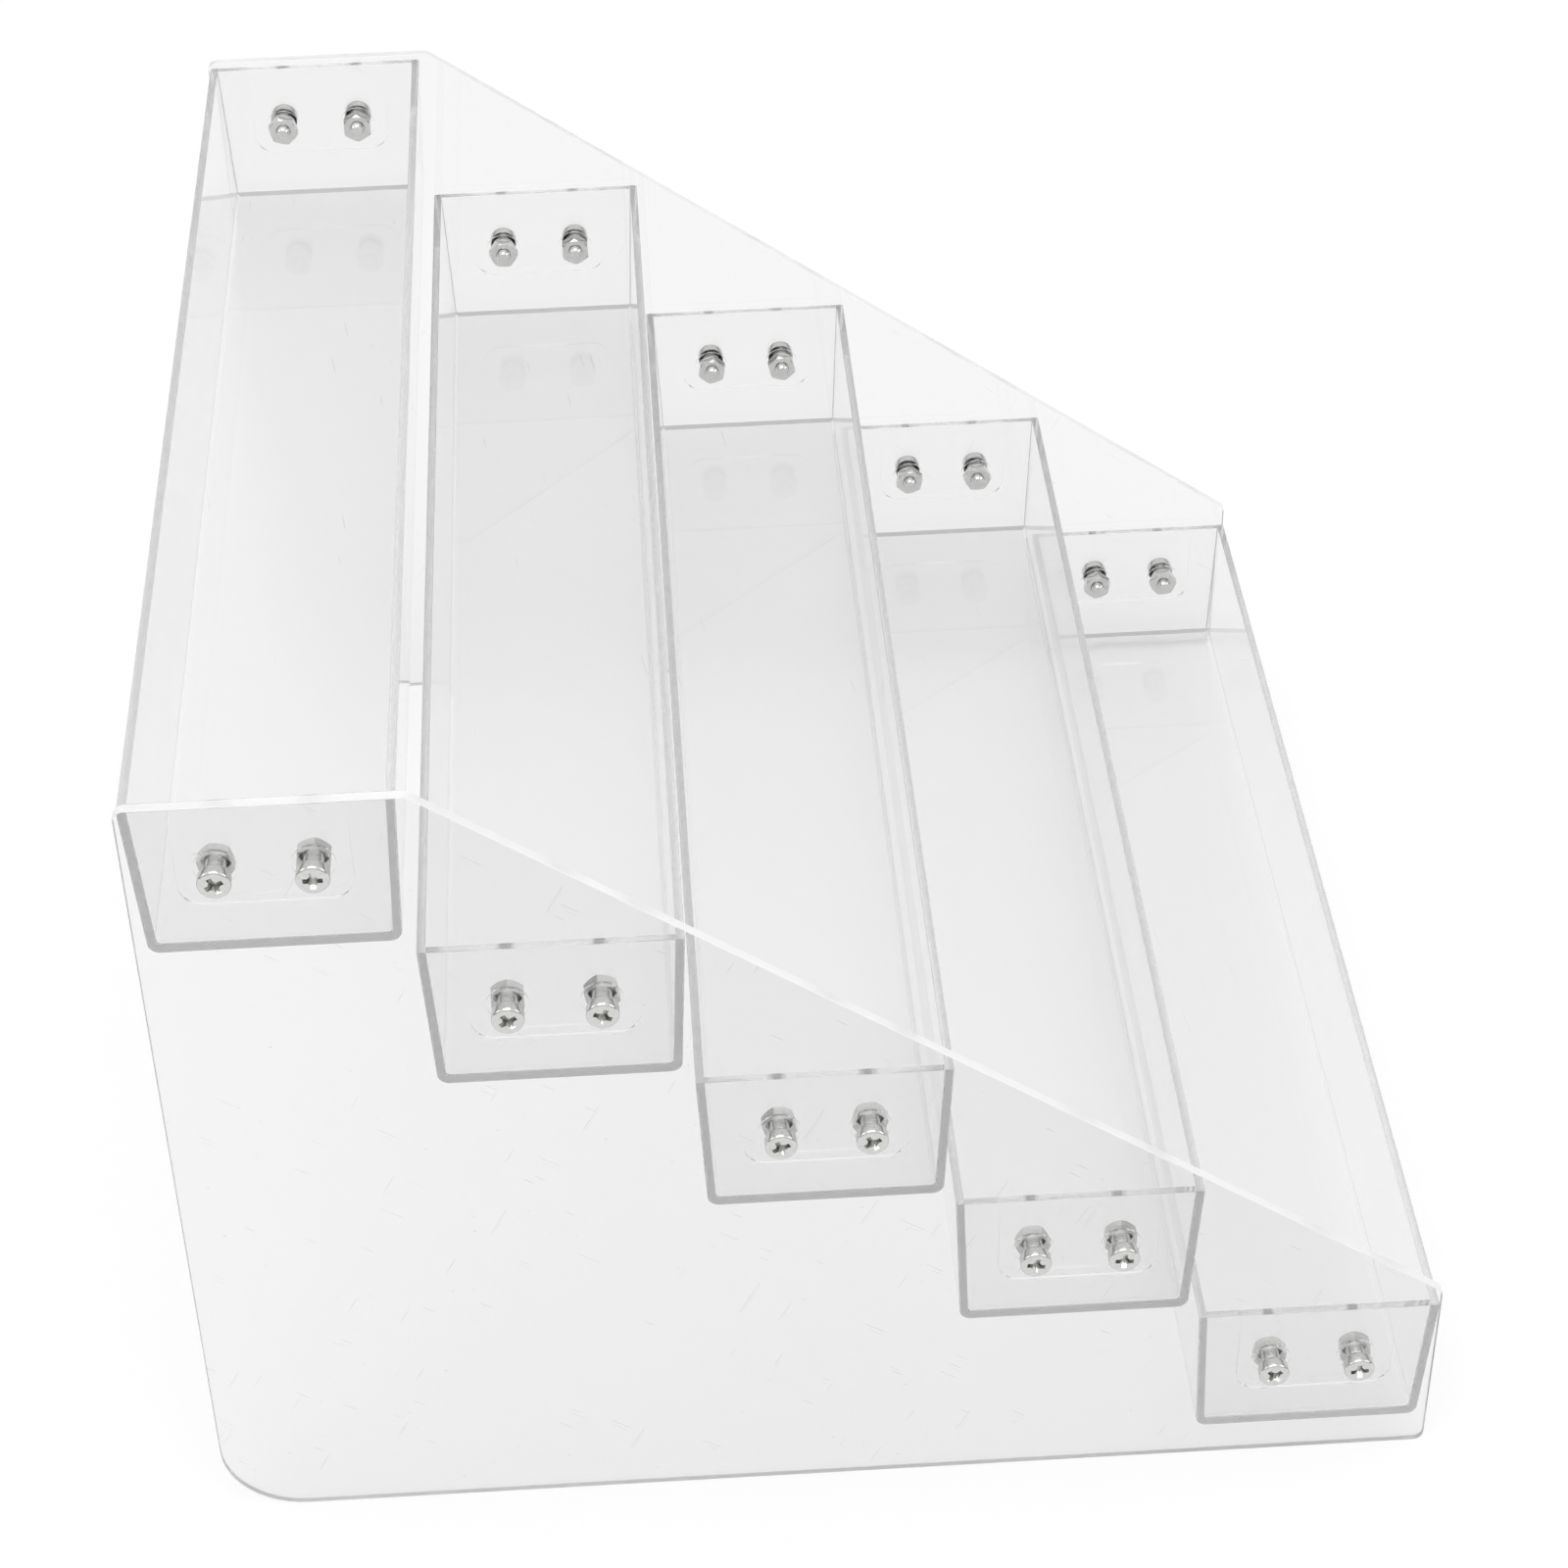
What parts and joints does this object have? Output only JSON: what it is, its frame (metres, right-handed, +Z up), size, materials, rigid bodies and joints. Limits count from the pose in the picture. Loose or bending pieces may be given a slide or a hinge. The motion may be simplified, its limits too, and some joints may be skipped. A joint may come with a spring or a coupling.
{
  "type": "nail polish rack",
  "caption": "Clear tabletop rack of stepped open trays bolted between flat side panels, for rows of small bottles.",
  "frame": {"origin": "on the ground, in the middle of the rack's footprint", "axes": "+X along the trays, +Y towards the tall back, +Z up"},
  "size_m": [0.2604, 0.2234, 0.165],
  "materials": {
    "side_panel": "clear cast acrylic sheet, polished faces and edges",
    "tray": "clear moulded acrylic, glossy",
    "screw": "bright nickel plated steel",
    "nut": "bright nickel plated steel"
  },
  "bodies": {
    "root": {"left_side_panel": "side_panel", "right_side_panel": "side_panel", "tray_1": "tray", "tray_2": "tray", "tray_3": "tray", "tray_4": "tray", "tray_5": "tray", "tray_1_left_screws": "screw", "tray_1_right_screws": "screw", "tray_2_left_screws": "screw", "tray_2_right_screws": "screw", "tray_3_left_screws": "screw", "tray_3_right_screws": "screw", "tray_4_left_screws": "screw", "tray_4_right_screws": "screw", "tray_5_left_screws": "screw", "tray_5_right_screws": "screw", "tray_1_left_nuts": "nut", "tray_1_right_nuts": "nut", "tray_2_left_nuts": "nut", "tray_2_right_nuts": "nut", "tray_3_left_nuts": "nut", "tray_3_right_nuts": "nut", "tray_4_left_nuts": "nut", "tray_4_right_nuts": "nut", "tray_5_left_nuts": "nut", "tray_5_right_nuts": "nut"}
  },
  "joints": []
}
